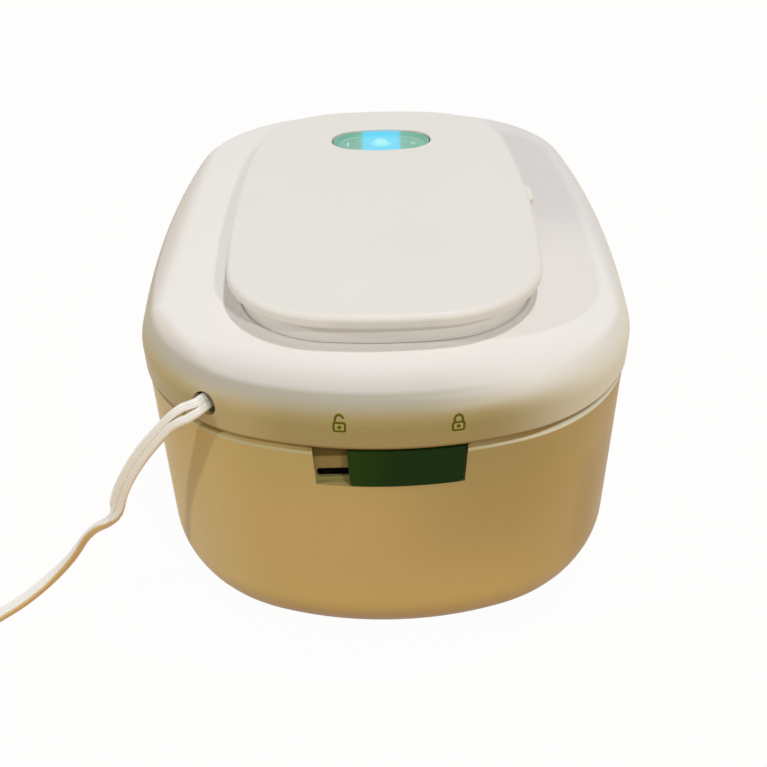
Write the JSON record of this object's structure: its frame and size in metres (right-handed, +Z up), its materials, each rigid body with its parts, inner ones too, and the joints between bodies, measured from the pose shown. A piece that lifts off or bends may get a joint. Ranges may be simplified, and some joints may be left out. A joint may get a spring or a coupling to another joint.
{
  "type": "baby wipe warmer",
  "caption": "Free-standing baby wipe warmer: oval tub, heated lift-off top with a hinged lid and lit control window, slide lock and mains lead.",
  "frame": {"origin": "centre of the warmer's footprint on the table, without its lead, under the feet", "axes": "+Z up; +Y along the length, away from the end with the slide lock; +X towards the user's side, where the lid's thumb tab is; the lid hinges on the -X side"},
  "size_m": [0.3219, 0.2679, 0.1183],
  "materials": {
    "cover_plastic": "satin warm white moulded plastic",
    "lid_plastic": "satin warm white moulded plastic",
    "tub_plastic": "satin tan moulded plastic",
    "liner_plastic": "smooth off-white plastic",
    "inner_plastic": "plain off-white plastic",
    "lock_green": "satin dark green plastic",
    "slide_black": "black low-friction plastic",
    "panel_lens": "translucent sea-green glossy lens",
    "light_guide": "pale blue lit light guide",
    "silicone": "soft translucent silicone",
    "foot_rubber": "dark rubber",
    "screw_steel": "zinc plated steel",
    "cutout_steel": "plain steel can",
    "magnet_nickel": "nickel plated",
    "heater_aluminium": "satin aluminium sheet",
    "film_orange": "amber polyimide film",
    "foam_grey": "grey felt pad",
    "circuit_board": "green circuit board",
    "cord_pvc": "white PVC flat twin cord",
    "plug_pvc": "white moulded PVC",
    "plug_blades": "bare brass blades"
  },
  "bodies": {
    "base": {"tub_shell": "tub_plastic", "tub_liner": "liner_plastic", "tub_screws": "screw_steel", "feet": "foot_rubber", "lock_guide": "slide_black", "guide_screws": "screw_steel", "cord_tube": "cord_pvc", "cord_coil": "cord_pvc", "cord_tail": "cord_pvc", "plug_body": "plug_pvc", "plug_blades": "plug_blades"},
    "cover": {"cover_shell": "cover_plastic", "cover_pan": "inner_plastic", "pan_screws": "screw_steel", "cover_gasket": "silicone", "dispenser_frame": "inner_plastic", "dispenser_lips": "silicone", "heater_plate": "heater_aluminium", "heating_film": "film_orange", "insulation_pad": "foam_grey", "plate_screws": "screw_steel", "thermal_cutout": "cutout_steel", "power_board": "circuit_board", "control_board": "circuit_board", "light_guide": "light_guide", "panel_lens": "panel_lens", "catch_plate": "screw_steel", "hinge_pins": "screw_steel", "cord_lead": "cord_pvc", "cord_clamp": "inner_plastic"},
    "lid": {"lid_top": "lid_plastic", "lid_inner": "inner_plastic", "lid_screws": "screw_steel", "lid_seal": "silicone", "lid_magnet": "magnet_nickel"},
    "lock": {"lock_slider": "lock_green", "lock_carriage": "slide_black"}
  },
  "joints": [
    {"name": "cover_lift", "type": "slide", "parent": "base", "child": "cover", "axis": [0, 0, 1], "range_m": [0, 0.06]},
    {"name": "lid_hinge", "type": "hinge", "parent": "cover", "child": "lid", "pos_m": [-0.052, -0.006, 0.112], "axis": [0, -1, 0], "range_deg": [0, 100]},
    {"name": "lock_slide", "type": "slide", "parent": "base", "child": "lock", "axis": [1, 0, 0], "range_m": [-0.0102, 0]}
  ]
}
